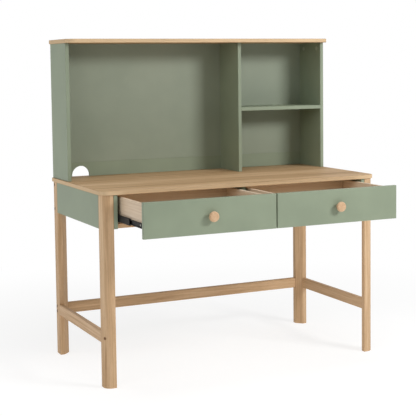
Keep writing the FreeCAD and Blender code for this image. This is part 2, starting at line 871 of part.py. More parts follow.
def make_hutch_divider():
    wall = board(divider_left, divider_right, hutch_front, back_panel_front, worktop_height, hutch_side_top)
    return without(wall, [hole_for(d) for d in hutch_dowel_places()] + cam_holes())


def make_hutch_shelf():
    return board(divider_right, hutch_inner, hutch_front, back_panel_front, shelf_underside,
                 shelf_underside + shelf_thickness)


def make_hutch_top():
    top = round_front_top(worktop_width, hutch_top_front, back, hutch_side_top, hutch_top_thickness,
                          hutch_corner_radius, worktop_arris)
    slot = back_panel_slot(-hutch_inner - back_panel_groove, hutch_inner + back_panel_groove,
                           hutch_side_top - 1, hutch_side_top + back_panel_groove)
    return without(top, [slot] + [pin_hole(place) for place in all_cam_places()])


def make_back_rail():
    """Rail across the foot of the hutch back, with a half-round notch for cables."""
    rail = board(-hutch_inner, hutch_inner, back_panel_front, back_panel_front + back_rail_thickness,
                 worktop_height, back_rail_top)
    radius = cable_notch_width / 2
    spring = worktop_height + cable_notch_height - radius
    rear = back_panel_front + back_rail_thickness + 1
    arch = Part.makeCylinder(radius, back_rail_thickness + 2, V(notch_centre, back_panel_front - 1, spring),
                             V(0, 1, 0))
    mouth = block(notch_centre - radius, notch_centre + radius, back_panel_front - 1, rear,
                  worktop_height - 1, spring)
    slot = back_panel_slot(-hutch_inner - 1, hutch_inner + 1, back_rail_top - back_panel_groove,
                           back_rail_top + 1)
    return rail.cut(arch).cut(mouth).cut(slot)


def make_back_panel():
    half = hutch_inner + back_panel_groove - slip_fit
    return block(-half, half, back_panel_front, back_panel_back, back_rail_top - back_panel_groove + slip_fit,
                 hutch_side_top + back_panel_groove - slip_fit)


# ---- the whole desk -------------------------------------------------------------------------

def both_sides(pieces, left_name, right_name, shape):
    pieces[left_name] = shape
    pieces[right_name] = mirrored(shape)


def build():
    pieces = {}
    pieces["worktop"] = make_worktop()
    both_sides(pieces, "front_left_leg", "front_right_leg", make_front_leg())
    both_sides(pieces, "rear_left_leg", "rear_right_leg", make_rear_leg())
    both_sides(pieces, "left_apron", "right_apron", make_side_apron())
    both_sides(pieces, "left_stretcher", "right_stretcher", make_side_stretcher())
    pieces["back_apron"] = make_back_apron()
    pieces["back_stretcher"] = make_back_stretcher()
    pieces["frame_bolts"] = make_frame_bolts()
    pieces["barrel_nuts"] = make_barrel_nuts()
    pins = [dowel_pin(place) for place in side_frame_dowel_places()]
    pins += [mirrored(pin) for pin in pins]
    pieces["dowels"] = group(pins + [dowel_pin(place) for place in hutch_dowel_places()])
    both_sides(pieces, "drawer_case_left_side", "drawer_case_right_side", make_case_side())
    pieces["drawer_case_partition"] = make_partition()
    pieces["drawer_case_rail"] = make_case_rail()

    pieces["hutch_top"] = make_hutch_top()
    both_sides(pieces, "hutch_left_side", "hutch_right_side", make_hutch_side())
    pieces["hutch_divider"] = make_hutch_divider()
    pieces["hutch_shelf"] = make_hutch_shelf()
    pieces["hutch_back_panel"] = make_back_panel()
    pieces["hutch_back_rail"] = make_back_rail()
    pieces["cam_locks"] = group([cam_lock(place) for place in all_cam_places()])
    pieces["cam_pins"] = group([cam_pin(place) for place in all_cam_places()])
    pieces["cam_lock_caps"] = group([cam_cap(place) for place in all_cam_places()])

    drawer_parts = {"front": make_drawer_front(), "outer_side": make_drawer_side("outer"),
                    "inner_side": make_drawer_side("inner"), "back": make_drawer_back(),
                    "bottom": make_drawer_bottom(), "knob": make_knob()}
    for name, shape in drawer_parts.items():
        both_sides(pieces, "left_drawer_" + name, "right_drawer_" + name, shape)

    case_screws = []
    for drawer in ("left", "right"):
        knob_screw = make_knob_screw()
        drawer_screws = [knob_screw if drawer == "left" else mirrored(knob_screw)]
        for side in ("outer", "inner"):
            stem = drawer + "_drawer_" + side + "_slide_"
            pieces[stem + "case_member"] = make_case_member(drawer, side)
            pieces[stem + "middle_member"] = make_middle_member(drawer, side)
            pieces[stem + "ball_retainers"] = make_retainers(drawer, side)
            pieces[stem + "drawer_member"] = make_drawer_member(drawer, side)
            case_screws += [make_screw(s) for s in slide_screws(drawer, side, "case")]
            drawer_screws += [make_screw(s) for s in slide_screws(drawer, side, "drawer")]
        pieces[drawer + "_drawer_screws"] = group(drawer_screws)
    pieces["case_slide_screws"] = group(case_screws)
    return pieces


os.makedirs("parts", exist_ok=True)
for node, shape in build().items():
    shape.exportStep("parts/" + node + ".step")
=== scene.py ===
import json
import math

import bmesh
import bpy
from mathutils import Matrix, Vector


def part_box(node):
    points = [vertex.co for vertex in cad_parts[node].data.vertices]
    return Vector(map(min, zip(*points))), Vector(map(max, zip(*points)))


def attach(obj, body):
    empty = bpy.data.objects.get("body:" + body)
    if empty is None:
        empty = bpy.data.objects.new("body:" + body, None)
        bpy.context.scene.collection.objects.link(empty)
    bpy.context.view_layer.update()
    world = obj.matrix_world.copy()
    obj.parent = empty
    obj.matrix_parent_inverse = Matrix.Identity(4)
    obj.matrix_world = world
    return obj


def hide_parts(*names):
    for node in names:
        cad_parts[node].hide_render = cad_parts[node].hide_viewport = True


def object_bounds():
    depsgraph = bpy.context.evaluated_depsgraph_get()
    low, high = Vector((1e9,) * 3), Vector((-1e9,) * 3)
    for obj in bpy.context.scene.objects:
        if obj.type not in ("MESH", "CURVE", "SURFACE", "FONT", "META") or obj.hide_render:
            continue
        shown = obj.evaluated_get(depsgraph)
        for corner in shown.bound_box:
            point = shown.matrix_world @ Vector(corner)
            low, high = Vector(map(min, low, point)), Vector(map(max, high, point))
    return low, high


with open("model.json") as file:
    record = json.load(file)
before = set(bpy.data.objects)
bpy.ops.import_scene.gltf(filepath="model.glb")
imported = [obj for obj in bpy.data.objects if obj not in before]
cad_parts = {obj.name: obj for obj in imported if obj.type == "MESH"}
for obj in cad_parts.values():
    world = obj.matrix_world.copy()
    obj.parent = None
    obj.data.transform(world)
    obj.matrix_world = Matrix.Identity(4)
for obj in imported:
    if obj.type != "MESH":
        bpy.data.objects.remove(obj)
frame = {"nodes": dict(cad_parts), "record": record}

# A student's writing desk with two drawers and a hutch.  The CAD nodes keep their shapes and get their
# finishes here.  Knobs, bolts and caps are drawn rounder, and the slides get their balls.
# Metres in Blender; the sizes below are millimetres unless their comment says otherwise.

MM = 0.001
cad_low, cad_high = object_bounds()

# ---- camera, in the desk's own frame ---------------------------------------------------------

FRAME_PIXELS = 416
SENSOR_WIDTH = 36.0
CAMERA_PLACE = (-1931.5, -3899.2, 1199.4)
CAMERA_TURN = math.radians(25.32)      # to the right of straight ahead
CAMERA_DIP = math.radians(4.57)        # below the horizon
CAMERA_ROLL = math.radians(-0.68)
FOCAL_PIXELS = 1083.9
OPTICAL_CENTRE_LIFT = 56.0             # pixels from the frame's middle up to the optical axis

# ---- light ----------------------------------------------------------------------------------

# name, place, width and height in metres, and power in watts
SOFTBOXES = (
    ("key_softbox", (1795, -2377, 2137), 1.0, 0.6, 57.0),      # small, in front, to the right and above
    ("fill_softbox", (-3000, -2000, 2300), 2.6, 2.0, 27.0),    # broad, in front, to the left and above
    ("top_softbox", (0, -450, 3300), 1.6, 1.2, 24.0),          # overhead, a little in front
    ("side_softbox", (-1500, 480, 850), 0.5, 1.4, 2.1),        # weak, close by on the left, a little behind
)
ROOM_LIGHT = 0.14                      # even light from all round
FLOOR_SIZE = 14.0                      # metres
FLOOR_BOUNCE = 0.85                    # share of the light that the floor gives back to the desk
FLOOR_GLOW = 0.46                      # light that the white floor adds to what stands near it
FLOOR_TONE = 0.86                      # the floor where it is seen
FLOOR_LIFT = 0.46                      # light added where the floor is seen, so that it is white
FLOOR_SHADOW = 0.35                    # how much of the desk's shadow shows on the white floor
SHADOW_FADE = (0.8, 2.4)               # metres from the desk's middle over which the shadow goes


# ---- what every finish is made with ----------------------------------------------------------

def colour(code):
    """Linear colour from an sRGB hex value."""
    channels = [int(code[k:k + 2], 16) / 255 for k in (1, 3, 5)]
    return tuple(c / 12.92 if c <= 0.04045 else ((c + 0.055) / 1.055) ** 2.4 for c in channels) + (1.0,)


def add_node(material, kind, inputs=None, stops=None, **settings):
    """One node with its settings, its values or links by input, and the stops of a colour ramp."""
    node = material.node_tree.nodes.new(kind)
    for name, value in settings.items():
        setattr(node, name, value)
    for key, value in (inputs or {}).items():
        if isinstance(value, bpy.types.NodeSocket):
            material.node_tree.links.new(value, node.inputs[key])
        else:
            node.inputs[key].default_value = value
    if stops:
        ramp = node.color_ramp
        while len(ramp.elements) < len(stops):
            ramp.elements.new(0.5)
        for element, (place, tone) in zip(ramp.elements, stops):
            element.position = place
            element.color = tone
    return node


def new_material(name):
    """Empty material, and the place on the piece that its patterns follow."""
    material = bpy.data.materials.new(name)
    material.use_nodes = True
    material.node_tree.nodes.clear()
    return material, add_node(material, "ShaderNodeTexCoord").outputs["Object"]


def marks(material, place, across, along=None, grain="X", detail=2, roughness=0.5, distortion=0.0):
    """Random value from 0 to 1, in marks of a real size across the grain and along it."""
    sizes = [across] * 3
    sizes["XYZ".index(grain)] = along or across
    scaled = add_node(material, "ShaderNodeMapping",
                      {"Vector": place, "Scale": tuple(1 / (size * MM) for size in sizes)}).outputs["Vector"]
    return add_node(material, "ShaderNodeTexNoise",
                    {"Vector": scaled, "Scale": 1.0, "Detail": detail, "Roughness": roughness,
                     "Distortion": distortion}).outputs["Fac"]


def blended_tones(material, value, tones, stops=(0.3, 0.7)):
    """Colour that runs through the tones as a value passes their stops."""
    return add_node(material, "ShaderNodeValToRGB", {"Fac": value},
                    [(stop, colour(tone)) for stop, tone in zip(stops, tones)]).outputs["Color"]


def finish_surface(material, inputs, relief, depth, strength=0.3):
    """Principled surface with a fine relief of a given depth."""
    bump = add_node(material, "ShaderNodeBump", {"Height": relief, "Distance": depth * MM,
                                                 "Strength": strength})
    surface = add_node(material, "ShaderNodeBsdfPrincipled", {**inputs, "Normal": bump.outputs["Normal"]})
    add_node(material, "ShaderNodeOutputMaterial", {"Surface": surface.outputs["BSDF"]})
    return material


# ---- paint, metal and plastic ----------------------------------------------------------------

PAINT_TONES = ("#8b9680", "#929d86")
THIN_PANEL_TONES = ("#8f9986", "#969f8c")
PAINT_TONE_STOPS = (0.35, 0.65)
PAINT_CLOUD = 180.0                    # size of the slightly paler and duller patches
PAINT_IOR = 1.5
PAINT_MIRROR = 0.33                    # reflection, where 0.5 is what the IOR gives
THIN_PANEL_MIRROR = 0.4
PAINT_ROUGHNESS = (0.46, 0.54)
PEEL = 2.2                             # size of the dimples that the spray leaves
PEEL_DEPTH = 0.06
PEEL_STRENGTH = 0.35

SLIDE_TONES = ("#0e0f10", "#191a1c")
SLIDE_ROLLED_MARK = (1.2, 60.0)        # across and along, coarser than the real marks, so that it shows
SLIDE_MIRROR = 0.3
SLIDE_ROUGHNESS = (0.46, 0.60)
SLIDE_DEPTH = 0.03

ZINC_TONES = ("#a9a69e", "#c9c7c0")
ZINC_CLOUD = 3.0                       # coarser than the real grain of the plating, so that it shows
ZINC_ROUGHNESS = (0.28, 0.44)
ZINC_DEPTH = 0.02

# the bolts' dull brown tones are painted shade of their sunken heads and key sockets, laid over zinc-plated
# steel
PAINTED_SHADE_BOLT_TONES = ("#5d4c3a", "#75624c")
BOLT_ROUGHNESS = 0.5

CAP_TONES = ("#a3aa98", "#adb4a2")
CAP_GRIT = 1.5                         # coarser than the mould's grit, so that it shows
CAP_ROUGHNESS = 0.5
CAP_DEPTH = 0.03


def sage_paint(name, tones, mirror):
    """Sprayed satin lacquer: an even grey-green with a barely uneven coat and a fine orange peel."""
    material, place = new_material(name)
    clouds = marks(material, place, PAINT_CLOUD, detail=3)
    tone = blended_tones(material, clouds, tones, PAINT_TONE_STOPS)
    peel = marks(material, place, PEEL)
    low, high = PAINT_ROUGHNESS
    gloss = add_node(material, "ShaderNodeMapRange", {"Value": clouds, "To Min": low, "To Max": high})
    return finish_surface(material, {"Base Color": tone, "IOR": PAINT_IOR, "Specular IOR Level": mirror,
                                     "Roughness": gloss.outputs["Result"]}, peel, PEEL_DEPTH, PEEL_STRENGTH)


def black_slide_steel():
    """Cold-rolled steel with black electro-coat: near black, with a soft highlight on its bends."""
    material, place = new_material("black_electrocoated_rolled_steel")
    rolled = marks(material, place, *SLIDE_ROLLED_MARK, grain="Y", detail=3)
    tone = blended_tones(material, rolled, SLIDE_TONES)
    low, high = SLIDE_ROUGHNESS
    gloss = add_node(material, "ShaderNodeMapRange", {"Value": rolled, "To Min": low, "To Max": high})
    return finish_surface(material, {"Base Color": tone, "Roughness": gloss.outputs["Result"],
                                     "Specular IOR Level": SLIDE_MIRROR}, rolled, SLIDE_DEPTH)


def zinc_plate():
    """Bright zinc plating on steel fasteners: pale metal with a slightly clouded gloss."""
    material, place = new_material("bright_zinc_plated_steel")
    spangle = marks(material, place, ZINC_CLOUD, detail=3)
    tone = blended_tones(material, spangle, ZINC_TONES)
    low, high = ZINC_ROUGHNESS
    gloss = add_node(material, "ShaderNodeMapRange", {"Value": spangle, "To Min": low, "To Max": high})
    return finish_surface(material, {"Base Color": tone, "Metallic": 1.0,
                                     "Roughness": gloss.outputs["Result"]}, spangle, ZINC_DEPTH)


def shade_darkened_bolt_steel():
    """Zinc-plated steel bolts darkened to a dull brown: painted shade of the sunken recesses and key sockets
    that their heads sit in.
    """
    material, place = new_material("zinc_plated_steel_with_painted_shade")
    shade_mottle = marks(material, place, ZINC_CLOUD, detail=3)
    tone = blended_tones(material, shade_mottle, PAINTED_SHADE_BOLT_TONES)
    return finish_surface(material, {"Base Color": tone, "Metallic": 1.0, "Roughness": BOLT_ROUGHNESS},
                          shade_mottle, ZINC_DEPTH)


def cap_plastic():
    """Moulded polyethylene cap: soft, waxy and slightly pitted by the mould."""
    material, place = new_material("moulded_polyethylene_cap")
    grit = marks(material, place, CAP_GRIT)
    tone = blended_tones(material, grit, CAP_TONES)
    return finish_surface(material, {"Base Color": tone, "Roughness": CAP_ROUGHNESS}, grit, CAP_DEPTH)


# ---- wood -----------------------------------------------------------------------------------

LAMINATE_TONES = ("#8f704c", "#b7966f", "#caaa84", "#dfc39f")      # from the dark lines to the pale bands
SOLID_TONES = ("#b18e67", "#c8a57e", "#d3b18b", "#dfc29d")
BOX_TONES = ("#d9c1a6", "#e1cbb1", "#e8d4bb", "#efdec7")
KNOB_TONES = ("#c49d77", "#d0ab86", "#d8b591", "#dfbe9b")
DOWEL_TONES = ("#cfae84", "#d8b990", "#dec29c", "#e4cba6")
WOOD_TONE_STOPS = (0.34, 0.47, 0.55, 0.68)

LAMINATE_FIGURE = (16.0, 600.0)        # growth lines, across the grain and along it
SOLID_FIGURE = (6.0, 260.0)
BOX_FIGURE = (8.0, 300.0)
KNOB_FIGURE = (3.0, 60.0)
DOWEL_FIGURE = (2.0, 80.0)
BAND_ACROSS = 6                        # how many times as wide as the lines the broad bands are
BAND_ALONG = 3                         # and how many times as long
BAND_SHAPE = {"detail": 2, "distortion": 0.4}
LINE_SHAPE = {"detail": 5, "roughness": 0.62, "distortion": 0.7}
LINE_SHARE = 0.62                      # how much of the tone comes from the lines, and not the bands

# pores, across the grain and along it, a few times as coarse as real ones so that they show
LAMINATE_PORES = (2.0, 46.0)
SOLID_PORES = (1.3, 22.0)
BOX_PORES = (1.4, 14.0)
KNOB_PORES = (1.2, 8.0)
PORE_SHAPE = {"detail": 2, "roughness": 0.6}
PORE_SHARE = 0.40                      # the marks below this value are pores
PORE_SOFTNESS = 0.07
PORE_DEPTH = 0.12
PORE_STRENGTH = 0.5

LAMINATE_ROUGHNESS = (0.58, 0.70)      # where the wood is pale and where it is dark
LACQUERED_ROUGHNESS = (0.48, 0.62)
BOX_ROUGHNESS = (0.55, 0.65)
KNOB_ROUGHNESS = (0.36, 0.46)
DOWEL_ROUGHNESS = (0.6, 0.7)
WOOD_IOR = 1.48
WOOD_MIRROR = 0.35

END_FACING = 0.7                       # a face looks along X when more than this of its normal does
EDGE_FACING = (0.5, 0.7)               # upright share of the normal over which the edge band ends
EDGE_BAND_TONE = "#dfc29b"
EDGE_BAND_SHARE = 0.75                 # how much of the band's own tone shows over the grain

KNOT_TONE = "#6d4a2b"
KNOT_CORE = 0.4                        # share of a knot's radius that is all dark
LEG_KNOTS = (((-589, -145, 190), 8.0),)      # place and radius
LEG_SHIFT = (730, 511, 949)            # moves the pattern on the legs


def turned_on_ends(material, place, facing):
    """Place with X and Y changed over on faces that look along X, so that the grain follows them too."""
    share = add_node(material, "ShaderNodeMath", {0: facing["X"]}, operation="ABSOLUTE").outputs["Value"]
    on_end = add_node(material, "ShaderNodeMath", {0: share, 1: END_FACING},
                      operation="GREATER_THAN").outputs["Value"]
    axes = add_node(material, "ShaderNodeSeparateXYZ", {"Vector": place}).outputs
    turned = add_node(material, "ShaderNodeCombineXYZ",
                      {"X": axes["Y"], "Y": axes["X"], "Z": axes["Z"]}).outputs["Vector"]
    return add_node(material, "ShaderNodeMix", {"Factor": on_end, "A": place, "B": turned},
                    data_type="VECTOR").outputs["Result"]


def edge_banded(material, board, facing):
    """Board with the calmer band that is glued round it, on its upright faces."""
    share = add_node(material, "ShaderNodeMath", {0: facing["Z"]}, operation="ABSOLUTE").outputs["Value"]
    start, end = EDGE_FACING
    banded = add_node(material, "ShaderNodeMapRange",
                      {"Value": share, "From Min": start, "From Max": end, "To Min": EDGE_BAND_SHARE,
                       "To Max": 0.0}).outputs["Result"]
    return add_node(material, "ShaderNodeMix", {"Factor": banded, "A": board, "B": colour(EDGE_BAND_TONE)},
                    data_type="RGBA").outputs["Result"]


def knotted(material, board, place, knots):
    """Board with round dark knots that fade at their rims."""
    for spot, radius in knots:
        away = add_node(material, "ShaderNodeVectorMath", {0: place, 1: Vector(spot) * MM},
                        operation="DISTANCE").outputs["Value"]
        clear = add_node(material, "ShaderNodeMapRange",
                         {"Value": away, "From Min": radius * KNOT_CORE * MM, "From Max": radius * MM},
                         interpolation_type="SMOOTHSTEP").outputs["Result"]
        board = add_node(material, "ShaderNodeMix", {"Factor": clear, "A": colour(KNOT_TONE), "B": board},
                         data_type="RGBA").outputs["Result"]
    return board


def wood(name, grain, tones, figure, pores=SOLID_PORES, roughness=LACQUERED_ROUGHNESS, *, pore_tone,
         knots=(), shift=None, edged=False):
    """Wood cut along its grain: broad bands, growth lines, and short dark pores.

    grain is the axis that the grain follows.  pore_tone is how dark the pores are, where 1 is as pale as
    the wood.  An edged board, whose grain runs along X, has a band round it with the grain along every edge.
    """
    material, here = new_material(name)
    place = here
    if shift:
        place = add_node(material, "ShaderNodeVectorMath", {0: here, 1: Vector(shift) * MM},
                         operation="ADD").outputs["Vector"]
    if edged:
        normal = add_node(material, "ShaderNodeNewGeometry").outputs["Normal"]
        facing = add_node(material, "ShaderNodeSeparateXYZ", {"Vector": normal}).outputs
        place = turned_on_ends(material, place, facing)
    across, along = figure
    bands = marks(material, place, across * BAND_ACROSS, along * BAND_ALONG, grain, **BAND_SHAPE)
    lines = marks(material, place, across, along, grain, **LINE_SHAPE)
    growth = add_node(material, "ShaderNodeMix",
                      {"Factor": LINE_SHARE, "A": bands, "B": lines}).outputs["Result"]
    board = blended_tones(material, growth, tones, WOOD_TONE_STOPS)
    if edged:
        board = edge_banded(material, board, facing)
    board = knotted(material, board, here, knots)
    specks = marks(material, place, *pores, grain, **PORE_SHAPE)
    pore = add_node(material, "ShaderNodeMapRange",
                    {"Value": specks, "From Min": PORE_SHARE - PORE_SOFTNESS, "From Max": PORE_SHARE,
                     "To Min": pore_tone, "To Max": 1.0}).outputs["Result"]
    grey = add_node(material, "ShaderNodeCombineXYZ", {"X": pore, "Y": pore, "Z": pore}).outputs["Vector"]
    surface = add_node(material, "ShaderNodeMix", {"Factor": 1.0, "A": board, "B": grey}, data_type="RGBA",
                       blend_type="MULTIPLY").outputs["Result"]
    on_pale, on_dark = roughness
    gloss = add_node(material, "ShaderNodeMapRange", {"Value": growth, "To Min": on_dark, "To Max": on_pale})
    return finish_surface(material, {"Base Color": surface, "Roughness": gloss.outputs["Result"],
                                     "IOR": WOOD_IOR, "Specular IOR Level": WOOD_MIRROR},
                          pore, PORE_DEPTH, PORE_STRENGTH)


# ---- the finishes and the nodes that have them -----------------------------------------------

paint = sage_paint("sage_green_satin_lacquer_on_mdf", PAINT_TONES, PAINT_MIRROR)
# the thin board takes the same coat a little paler and glossier
thin_panel_paint = sage_paint("sage_green_lacquer_on_thin_hardboard", THIN_PANEL_TONES, THIN_PANEL_MIRROR)
# printed oak grain under a matt film: long calm bands with dark streaks, and a plain band round the edge
laminate = wood("oak_grain_laminate_on_particle_board", "X", LAMINATE_TONES, LAMINATE_FIGURE,
                LAMINATE_PORES, LAMINATE_ROUGHNESS, pore_tone=0.80, edged=True)
# planed and clear-lacquered solid wood: a warm, even tone with narrow lines and fine pores
leg_wood = wood("lacquered_solid_oak_grain_upright", "Z", SOLID_TONES, SOLID_FIGURE, pore_tone=0.84,
                knots=LEG_KNOTS, shift=LEG_SHIFT)
side_bar_wood = wood("lacquered_solid_oak_grain_fore_and_aft", "Y", SOLID_TONES, SOLID_FIGURE,
                     pore_tone=0.86)
cross_bar_wood = wood("lacquered_solid_oak_grain_across", "X", SOLID_TONES, SOLID_FIGURE, pore_tone=0.86)
# sanded drawer-box boards: very pale, with hardly any figure or gloss
box_side_wood = wood("sanded_poplar_grain_fore_and_aft", "Y", BOX_TONES, BOX_FIGURE, BOX_PORES,
                     BOX_ROUGHNESS, pore_tone=0.94)
box_back_wood = wood("sanded_poplar_grain_across", "X", BOX_TONES, BOX_FIGURE, BOX_PORES, BOX_ROUGHNESS,
                     pore_tone=0.94)
# beech turned on a lathe and lacquered: close grain and a soft highlight round the edge
knob_wood = wood("turned_beech_satin", "Y", KNOB_TONES, KNOB_FIGURE, KNOB_PORES, KNOB_ROUGHNESS,
                 pore_tone=0.92)
# bare beech dowels: dry and even
dowel_wood = wood("unfinished_beech_dowel", "Z", DOWEL_TONES, DOWEL_FIGURE, roughness=DOWEL_ROUGHNESS,
                  pore_tone=0.93)
slide_black = black_slide_steel()
zinc = zinc_plate()
# the bolts' finish is zinc-plated steel darkened with painted shade of their sunken heads
bolt_steel_with_painted_shade = shade_darkened_bolt_steel()
cap_cover = cap_plastic()

SLOT_FINISH = {"sage_paint": paint, "slide_black": slide_black, "ball_steel": zinc, "zinc_steel": zinc,
               "cap_plastic": cap_cover}
slot_of = {part["node"]: part["material_slot"] for part in frame["record"]["subparts"]}


def wood_for(node):
    """Wood finish of a node, by the way that its board runs."""
    if node in ("worktop", "hutch_top"):
        return laminate
    if node.endswith("_leg"):
        return leg_wood
    if node in ("left_stretcher", "right_stretcher"):
        return side_bar_wood
    if node in ("back_stretcher", "drawer_case_rail"):
        return cross_bar_wood
    if node.endswith("_knob"):
        return knob_wood
    if node == "dowels":
        return dowel_wood
    if node.endswith(("drawer_outer_side", "drawer_inner_side", "drawer_bottom")):
        return box_side_wood
    return box_back_wood


def finish_for(node):
    """Finish of a node, by its material slot, or by its board where it is wood."""
    if node == "hutch_back_panel":
        return thin_panel_paint
    return SLOT_FINISH.get(slot_of[node]) or wood_for(node)


for node, shape in frame["nodes"].items():
    shape.data.materials.clear()
    shape.data.materials.append(finish_for(node))


# ---- pieces drawn rounder than the CAD has them ----------------------------------------------

CREASE = math.radians(35)              # a sharper edge than this stays sharp
ROUND_MIDDLE = 0.3                     # how far inside its corner the middle of a round lies, of its radius

KNOB_STEPS = 96
KNOB_CURVE_STEPS = 12
KNOB_RADIUS = 19.5
KNOB_FOOT_RADIUS = 10.0
KNOB_WAIST_RADIUS = 7.5
KNOB_FACE_RADIUS = 13.0
KNOB_LENGTH = 26.0
KNOB_EDGE_DEPTH = 7.5
KNOB_RIM_WIDTH = 1.5
KNOB_FLARE_DEPTH = 8.5
KNOB_SOCKET = (2.2, 14.2)              # radius and depth of its screw hole

BOLT_STEPS = 48
BOLT_LEVELS = (712.5, 612.5, 201.5, 180.5)
BOLT_LINE_Y = 425.0
BOLT_FACE_X = 593.0
BOLT_HEAD = (6.5, 3.0, 0.5)            # radius, height and rounding
BOLT_SHANK = (3.0, 74.0)               # radius, and length from the head's face
BOLT_KEY = 4.0                         # across the flats
BOLT_KEY_DEPTH = 2.4
BOLT_KEY_SIDES = 6

CAP_STEPS = 48
CAP_PLATE = (8.5, 1.2)                 # radius and height
CAP_SOFT_EDGE = ((0.9, 1.0), (0.97, 0.82), (1.0, 0.45))    # points of it, in shares of radius and height
CAP_PLUG = (7.5, 1.3)                  # radius and depth
CAP_FACES = ((-580.0, 1), (187.0, 1), (580.0, -1))     # board face and the way that it looks
CAP_Y = (270.0, 381.0)
CAP_LEVEL = 1269.0

BALL_RADIUS = 1.6
BALL_SEGMENTS = 16
BALL_RINGS = 10
BALL_PITCH = 13.0
BALLS_PER_ROW = 8
OUTER_BALLS = (5.2, 14.4)              # from the wall, and above and below the slide's middle
INNER_BALLS = (7.3, 10.2)
RETAINER_LENGTH = 110.0
RETAINER_FROM_WALL = 3.0

MERGE_DISTANCE = 0.001


def spin_outline(mesh, outline, origin, direction, steps):
    """Turns a half outline, pairs of radius and distance out, about a line."""
    side = direction.orthogonal().normalized()
    corners = [mesh.verts.new((origin + side * radius + direction * out) * MM) for radius, out in outline]
    edges = [mesh.edges.new(pair) for pair in zip(corners, corners[1:])]
    bmesh.ops.spin(mesh, geom=corners + edges, cent=origin * MM, axis=direction, angle=math.tau,
                   steps=steps, use_merge=True)
    bmesh.ops.remove_doubles(mesh, verts=mesh.verts, dist=MERGE_DISTANCE * MM)


def finish_piece(mesh, name, finish, body, slot, *stands_for):
    """Piece from its mesh, smooth where it is round, that rides on a body in place of CAD nodes."""
    bmesh.ops.recalc_face_normals(mesh, faces=mesh.faces)
    shape = bpy.data.meshes.new(name)
    mesh.to_mesh(shape)
    mesh.free()
    shape.shade_smooth()
    shape.set_sharp_from_angle(angle=CREASE)
    shape.materials.append(finish)
    piece = bpy.data.objects.new(name, shape)
    bpy.context.collection.objects.link(piece)
    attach(piece, body)
    if stands_for:
        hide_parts(*stands_for)


def knob_outline():
    """From the bottom of the screw hole, round the foot, up the flare and over the edge to the face."""
    rim_front = KNOB_LENGTH - KNOB_EDGE_DEPTH
    rim_back = rim_front - KNOB_RIM_WIDTH
    flare = []
    edge = []
    for step in range(KNOB_CURVE_STEPS + 1):
        turn = math.pi / 2 * step / KNOB_CURVE_STEPS
        flare.append((KNOB_RADIUS - (KNOB_RADIUS - KNOB_WAIST_RADIUS) * math.cos(turn),
                      rim_back - KNOB_FLARE_DEPTH * (1 - math.sin(turn))))
        edge.append((KNOB_FACE_RADIUS + (KNOB_RADIUS - KNOB_FACE_RADIUS) * math.cos(turn),
                     rim_front + KNOB_EDGE_DEPTH * math.sin(turn)))
    hole_radius, hole_depth = KNOB_SOCKET
    hole = [(0, hole_depth), (hole_radius, hole_depth), (hole_radius, 0), (KNOB_FOOT_RADIUS, 0)]
    return hole + flare + edge + [(0, KNOB_LENGTH)]


def turned_knob(drawer):
    """Knob turned in one piece: a waisted neck, a thin rim and a rounded edge round a flat face."""
    low, high = (Vector(corner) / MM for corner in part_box(drawer + "_drawer_knob"))
    foot = Vector(((low.x + high.x) / 2, high.y, (low.z + high.z) / 2))
    mesh = bmesh.new()
    spin_outline(mesh, knob_outline(), foot, Vector((0, -1, 0)), KNOB_STEPS)
    finish_piece(mesh, drawer + "_turned_knob", knob_wood, drawer + "_drawer", "knob_wood",
                 drawer + "_drawer_knob")


def add_socket_bolt(mesh, face, direction):
    """Flat-headed bolt with a hexagonal key socket, from the face of its head along a direction."""
    head_radius, head_height, rounding = BOLT_HEAD
    shank_radius, length = BOLT_SHANK
    corner = BOLT_KEY / math.sqrt(3)
    inside = rounding * ROUND_MIDDLE
    spin_outline(mesh, [(corner + rounding, 0), (head_radius - rounding, 0), (head_radius - inside, inside),
                        (head_radius, rounding), (head_radius, head_height), (shank_radius, head_height),
                        (shank_radius, length), (0, length)], face, direction, BOLT_STEPS)
    spin_outline(mesh, [(corner, 0), (corner, BOLT_KEY_DEPTH), (0, BOLT_KEY_DEPTH)], face, direction,
                 BOLT_KEY_SIDES)
    bmesh.ops.bridge_loops(mesh, edges=[edge for edge in mesh.edges if edge.is_boundary])


def frame_bolts():
    """Bolts through both rear legs, their heads sunk below the outer faces."""
    mesh = bmesh.new()
    for way in (1, -1):
        for level in BOLT_LEVELS:
            add_socket_bolt(mesh, Vector((-way * BOLT_FACE_X, BOLT_LINE_Y, level)), Vector((way, 0, 0)))
    # the bolt heads' dark brown is painted shade of the recesses they sit in
    finish_piece(mesh, "socket_head_frame_bolts", bolt_steel_with_painted_shade, "frame", "zinc_steel", "frame_bolts")


def cam_caps():
    """Round caps over the cam locks, each a low plate with a soft edge and a plug behind it."""
    plate_radius, height = CAP_PLATE
    plug_radius, depth = CAP_PLUG
    soft_edge = [(plate_radius * wide, height * high) for wide, high in CAP_SOFT_EDGE]
    plug = [(plug_radius, 0), (plug_radius, -depth), (0, -depth)]
    mesh = bmesh.new()
    for board_face, way in CAP_FACES:
        for y in CAP_Y:
            spin_outline(mesh, [(0, height), *soft_edge, (plate_radius, 0), *plug],
                         Vector((board_face, y, CAP_LEVEL)), Vector((way, 0, 0)), CAP_STEPS)
    finish_piece(mesh, "round_cam_lock_caps", cap_cover, "frame", "cap_plastic", "cam_lock_caps")


